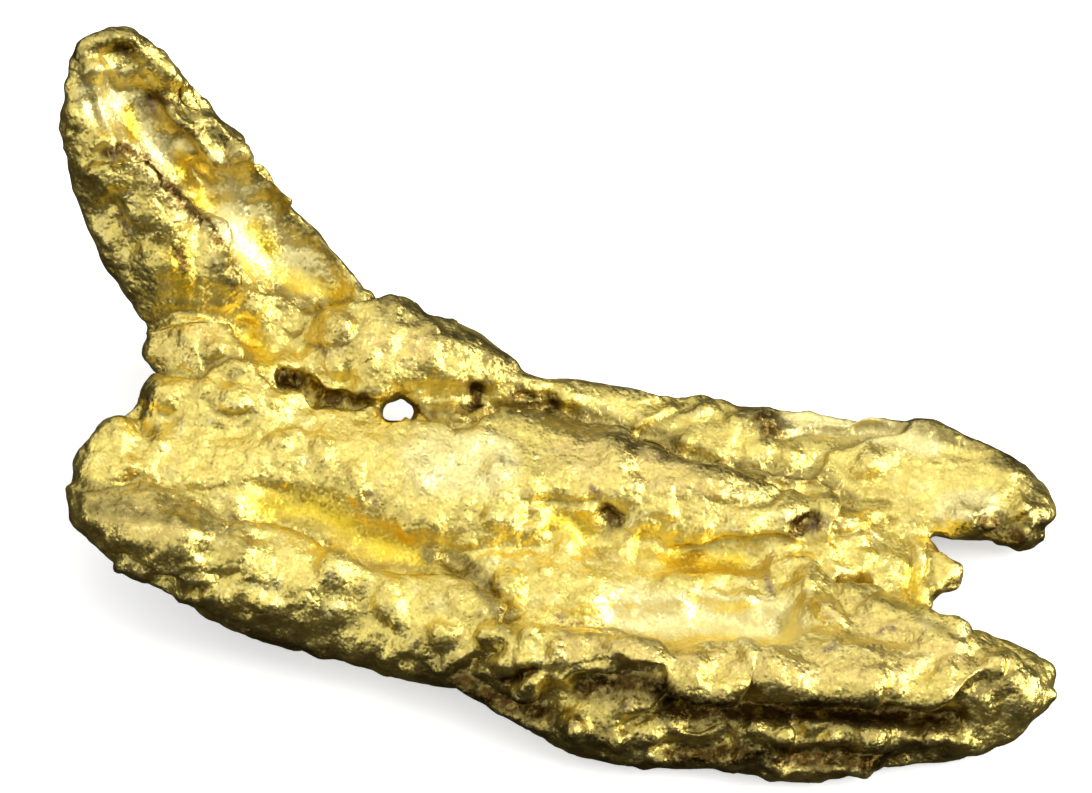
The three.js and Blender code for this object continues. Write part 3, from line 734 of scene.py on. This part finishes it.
# %% Masks for the finish
HOLLOW_SMOOTHING = 10
HOLLOW_GAIN = 6
CREASE_SHADE_WIDTH = 0.18


def mask(marks):
    """Where any of the marks lies on the seen metal, between 0 and 1."""
    return np.clip(sum(stroke(width, line) for width, line in marks), 0, 1) * seen


drawn = on_view_plane(places)
normals = facing(smoothed(places, FACING_SMOOTHING))
depth_below = np.einsum("ij,ij->i", smoothed(places, HOLLOW_SMOOTHING) - places, normals)
# the creases along the lips and cracks carry painted shade
creases = [(CREASE_SHADE_WIDTH, line) for _, _, _, line in lips]
creases += [(width, line) for width, _, line in cracks]
masks = {
    "hollow": np.clip(0.5 + depth_below * HOLLOW_GAIN, 0, 1),
    "calm": calm,
    "bounce_light": mask(bounce_light_marks),
    "away_shade": mask(away_shade_marks),
    "painted_light": mask(painted_light_marks),
    "tan": mask(tan_marks),
    "crease_shade": mask(creases),
    "stain_and_shade": mask(stain_and_shade_marks),
    "mineral": mask(mineral_marks),
}
for name, values in masks.items():
    lump_mesh.attributes.new(name, "FLOAT", "POINT").data.foreach_set("value", values)
    print("mask", name, "covers", round(float(values.mean()), 3))

# %% [markdown]
# The sculpted places go back into the mesh in metres. The piece stands for the frame's node, which
# stays in the physics, and it rides on the one body there is.

lump_mesh.vertices.foreach_set("co", (places * MM).ravel())
lump_mesh.update()
for polygon in lump_mesh.polygons:
    polygon.use_smooth = True
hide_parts("nugget")
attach(gold_lump, "root")
print("gold lump:", len(lump_mesh.polygons), "faces")

# %% [markdown]
# Native gold is a bare metal: nearly all that is seen of it is reflection, tinted yellow. Light
# that bounces twice in a hollow is tinted twice, so the hollows look warmer. One flat colour would
# look like paint, so the material is a chain of washes, each laid on through a mask. First come the
# colours and the few helpers that the chain is made of.

# %% Gold: colours and helpers
gold = bpy.data.materials.new("native_gold")
gold.use_nodes = True
nodes, links = gold.node_tree.nodes, gold.node_tree.links
shader = nodes["Principled BSDF"]
# Painted light and shade among these colours: the bright gold on grain tops is partly a painted highlight
# and the dull gold between grains partly painted shade; the shaded gold, the crease colour and the dark
# brown are painted shade, the stain colour partly; the pale gold is painted light where it lies on open
# floors, and the warm gold is painted bounce light.
CLEAN_AND_LIT = (0.98, 0.80, 0.22, 1)
TAN = (0.80, 0.60, 0.21, 1)
DULL_AND_SHADED = (0.74, 0.585, 0.15, 1)
SHADED = (0.86, 0.70, 0.17, 1)
PALE_AND_LIT = (1.0, 0.87, 0.37, 1)
WARM_BOUNCE_LIGHT = (0.95, 0.69, 0.05, 1)
AWAY_SHADE = (0.33, 0.26, 0.08, 1)
CREASE_SHADE = (0.38, 0.29, 0.08, 1)
STAIN_AND_SHADE = (0.11, 0.065, 0.015, 1)
MINERAL = (0.24, 0.15, 0.09, 1)

# a Mix node's sockets for colours, by number, because its sockets for numbers have the same names
MIX_SHARE, MIX_FIRST, MIX_SECOND, MIX_RESULT = 0, 6, 7, 2


def node(kind, **settings):
    """A node of the gold material with its settings and default inputs."""
    made = nodes.new(kind)
    for key, value in settings.items():
        if key in made.inputs:
            made.inputs[key].default_value = value
        else:
            setattr(made, key, value)
    return made


def ranged(value, low, high, to_low=0.0, to_high=1.0):
    """A value stretched from one range to another, and kept within it."""
    stretch = node("ShaderNodeMapRange")
    for key, number in zip(("From Min", "From Max", "To Min", "To Max"), (low, high, to_low, to_high)):
        stretch.inputs[key].default_value = number
    links.new(value, stretch.inputs["Value"])
    return stretch.outputs["Result"]


def times(first, second):
    """The product of two masks."""
    product = node("ShaderNodeMath", operation="MULTIPLY")
    links.new(first, product.inputs[0])
    links.new(second, product.inputs[1])
    return product.outputs["Value"]


def tinted(colour, other, share):
    """A colour turned towards another one by a mask."""
    mix = node("ShaderNodeMix", data_type="RGBA")
    links.new(share, mix.inputs[MIX_SHARE])
    if isinstance(colour, tuple):
        mix.inputs[MIX_FIRST].default_value = colour
    else:
        links.new(colour, mix.inputs[MIX_FIRST])
    mix.inputs[MIX_SECOND].default_value = other
    return mix.outputs[MIX_RESULT]


def patches(scale, detail=4.0, roughness=0.6):
    """Cloudy noise on the piece's own millimetres."""
    clouds = node("ShaderNodeTexNoise", Scale=scale, Detail=detail, Roughness=roughness)
    links.new(in_mm.outputs[0], clouds.inputs["Vector"])
    return clouds.outputs["Fac"]


def attribute(name):
    """One of the masks that ride on the mesh."""
    return node("ShaderNodeAttribute", attribute_name=name).outputs["Fac"]


def domes(scale):
    """Rounded grains on the piece's own millimetres: 1 on a tall one's top, 0 on the ground between."""
    cells = node("ShaderNodeTexVoronoi", Scale=scale)
    links.new(in_mm.outputs[0], cells.inputs["Vector"])
    top = ranged(times(cells.outputs["Distance"], cells.outputs["Distance"]), 0, 0.5, 1, 0)
    return times(times(top, top), ranged(cells.outputs["Color"], 0, 1, 0.3, 1))


place = node("ShaderNodeTexCoord")
in_mm = node("ShaderNodeVectorMath", operation="SCALE")
in_mm.inputs["Scale"].default_value = 1 / MM
links.new(place.outputs["Object"], in_mm.inputs[0])
print("nodes before colour:", len(nodes))

# %% [markdown]
# The washes go from the widest to the smallest. Grain tops are painted bright and the ground between
# them darker: a painted highlight on the tops and painted shade between them, along with the polish
# that wear gives the tops, with wide bright and pale patches over both. Then come the tanned crests,
# painted shade in the hollows, darker in the deepest, painted light on the open floors, a warmer gold
# as painted bounce light, and painted shade on rims and slopes that face away. Painted shade along
# the creases, then the stains, which are partly painted shade, and the mineral go on last, so nothing
# covers them. Noise breaks up the edges of most masks. The mineral is much less metallic than the
# gold, and the gold where light is painted a little less.

# %% Gold: colour
# painted highlight on the grain tops and painted shade on the ground between, along with the polish that
# wear gives the tops
colour = tinted(DULL_AND_SHADED, CLEAN_AND_LIT, ranged(domes(4.0), 0, 0.45, 0.1, 1))
colour = tinted(colour, CLEAN_AND_LIT, ranged(patches(0.7), 0.45, 0.65, 0, 0.8))
colour = tinted(colour, PALE_AND_LIT, ranged(patches(1.6), 0.55, 0.7, 0, 0.8))
colour = tinted(colour, TAN, times(attribute("tan"), ranged(patches(2.2), 0.35, 0.6, 0.9, 0.3)))
# painted shade in the hollows, by how deep they lie
colour = tinted(colour, SHADED, ranged(attribute("hollow"), 0.5, 1))
# darker painted shade in the deepest hollows
deep_hollow_shade = times(ranged(attribute("hollow"), 0.75, 1), ranged(patches(1.1), 0.4, 0.65, 0.1, 0.7))
colour = tinted(colour, CREASE_SHADE, deep_hollow_shade)
# painted light: open floors and bright places painted paler, as if lit
painted_light = times(ranged(attribute("painted_light"), 0, 0.5), ranged(patches(1.5), 0.3, 0.6, 0.7, 1))
colour = tinted(colour, PALE_AND_LIT, painted_light)
# painted bounce light: a warmer gold in the folds
colour = tinted(colour, WARM_BOUNCE_LIGHT, times(attribute("bounce_light"), ranged(patches(1.6), 0.3, 0.6, 0.6, 1)))
# painted shade, dark brown, on rims, slopes that face away and the front wall
away_shade = times(ranged(attribute("away_shade"), 0, 0.6), ranged(patches(3.0), 0.35, 0.6, 0.3, 1))
colour = tinted(colour, AWAY_SHADE, away_shade)
# painted shade along the creases of the lips and cracks
crease_shade = times(attribute("crease_shade"), ranged(patches(2.0), 0.35, 0.6, 0.3, 0.9))
colour = tinted(colour, CREASE_SHADE, crease_shade)
# stains in some pits, and painted shade in deep joints, under the crest and along the lobe edge
stain_and_shade = times(ranged(attribute("stain_and_shade"), 0, 0.7), ranged(patches(3.5), 0.35, 0.5, 0.3, 1))
colour = tinted(colour, STAIN_AND_SHADE, stain_and_shade)
mineral = times(attribute("mineral"), ranged(patches(5.0), 0.4, 0.55))
colour = tinted(colour, MINERAL, mineral)
links.new(colour, shader.inputs["Base Color"])
metal = times(ranged(mineral, 0, 1, 1, 0.35), ranged(painted_light, 0, 1, 1, 0.92))
links.new(metal, shader.inputs["Metallic"])
links.new(ranged(patches(2.0, 5.0), 0.3, 0.7, 0.32, 0.48), shader.inputs["Roughness"])
print("nodes after colour:", len(nodes))

# %% [markdown]
# Close up, a nugget glitters: it is covered with grains and crystal faces finer than the mesh can
# hold. A bump gives the small grains and the grit. For the faces, each cell of a fine pattern tips
# the normal its own way, so it catches the light or misses it as a whole.

# %% Gold: glitter
SMALL_GRAINS = [(4.0, 0.03), (8.5, 0.014)]
GRIT_SCALE = 18.0
GRIT = 0.008
FACET_SCALE = 17.0
FACET_TILT = 0.25


def vector(operation, first, second):
    """The result of a vector sum, difference, product or normalising."""
    step = node("ShaderNodeVectorMath", operation=operation)
    links.new(first, step.inputs[0])
    if isinstance(second, tuple):
        step.inputs[1].default_value = second
    else:
        links.new(second, step.inputs[1])
    return step.outputs["Vector"]


height = ranged(patches(GRIT_SCALE, 2.0, 0.8), 0, 1, 0, GRIT)
for scale, rise in SMALL_GRAINS:
    raised = node("ShaderNodeMath", operation="MULTIPLY_ADD")
    links.new(domes(scale), raised.inputs[0])
    raised.inputs[1].default_value = rise
    links.new(height, raised.inputs[2])
    height = raised.outputs["Value"]
height = times(height, ranged(attribute("calm"), 0, 1, 1, 0.35))
bump = node("ShaderNodeBump", Strength=1.0, Distance=MM)
links.new(height, bump.inputs["Height"])
cells = node("ShaderNodeTexVoronoi", Scale=FACET_SCALE)
links.new(in_mm.outputs[0], cells.inputs["Vector"])
off_centre = vector("SUBTRACT", cells.outputs["Color"], (0.5, 0.5, 0.5))
off_centre = vector("MULTIPLY", off_centre, (FACET_TILT, FACET_TILT, FACET_TILT))
faces = vector("NORMALIZE", vector("ADD", bump.outputs["Normal"], off_centre), (0, 0, 0))
links.new(faces, shader.inputs["Normal"])
lump_mesh.materials.clear()
lump_mesh.materials.append(gold)
print("nodes in all:", len(nodes))

# %% [markdown]
# The floor is a plain pale table. A metal mirrors what is round it, and a nugget on a white table
# would lose its dark outlines. So the camera sees pale paint, while the nugget itself mirrors a
# dark one: the material asks the Light Path node which of the two is looking.

# %% Floor
FLOOR_SIZE = 4
FLOOR_DROP = 0.00002
bpy.ops.mesh.primitive_plane_add(size=FLOOR_SIZE, location=(0, 0, -FLOOR_DROP))
floor = bpy.context.object
floor.name = "table"
floor_paint = bpy.data.materials.new("table_paint")
floor_paint.use_nodes = True
floor_nodes, floor_links = floor_paint.node_tree.nodes, floor_paint.node_tree.links
seen_paint = floor_nodes["Principled BSDF"]
seen_paint.inputs["Base Color"].default_value = (0.95, 0.95, 0.95, 1)
seen_paint.inputs["Roughness"].default_value = 0.9
seen_paint.inputs["Emission Color"].default_value = (1, 1, 1, 1)
seen_paint.inputs["Emission Strength"].default_value = 0.5
dark_paint = floor_nodes.new("ShaderNodeBsdfDiffuse")
dark_paint.inputs["Color"].default_value = (0.025, 0.02, 0.015, 1)
ray = floor_nodes.new("ShaderNodeLightPath")
chosen = floor_nodes.new("ShaderNodeMixShader")
floor_links.new(ray.outputs["Is Camera Ray"], chosen.inputs["Fac"])
floor_links.new(dark_paint.outputs["BSDF"], chosen.inputs[1])
floor_links.new(seen_paint.outputs["BSDF"], chosen.inputs[2])
floor_links.new(chosen.outputs["Shader"], floor_nodes["Material Output"].inputs["Surface"])
floor.data.materials.append(floor_paint)
print("floor in metres:", FLOOR_SIZE)

# %% [markdown]
# A large soft box overhead lights all that faces up, and a small one beside it adds the glints on
# the grains. A strong one low at the right reaches into the wing, and weak ones at the left and the
# back keep the folds there readable. None stands straight in front, so the front wall stays dark.

# %% Light
def softbox(name, place, size, strength):
    """A square area light that looks at the nugget."""
    lamp = bpy.data.lights.new(name, "AREA")
    lamp.size = size
    lamp.energy = strength
    holder = bpy.data.objects.new(name, lamp)
    bpy.context.scene.collection.objects.link(holder)
    holder.location = place
    holder.rotation_euler = (-Vector(place)).to_track_quat("-Z", "Y").to_euler()
    holder.visible_camera = False
    print("lamp", name, "of", size, "m at", place)


softbox("overhead", (0, 0, 0.12), 0.4, 0.37)
softbox("key", (-0.03, 0.02, 0.2), 0.08, 0.04)
softbox("back", (-0.05, 0.25, 0.12), 0.2, 0.08)
softbox("left_side", (-0.2, -0.12, 0.07), 0.16, 0.1)
softbox("right_side", (0.2, -0.02, 0.1), 0.16, 0.54)
world = bpy.data.worlds.new("studio")
bpy.context.scene.world = world
world.use_nodes = True
world.node_tree.nodes["Background"].inputs["Color"].default_value = (1, 0.95, 0.8, 1)
world.node_tree.nodes["Background"].inputs["Strength"].default_value = 0.04
bpy.context.scene.view_settings.view_transform = "Standard"
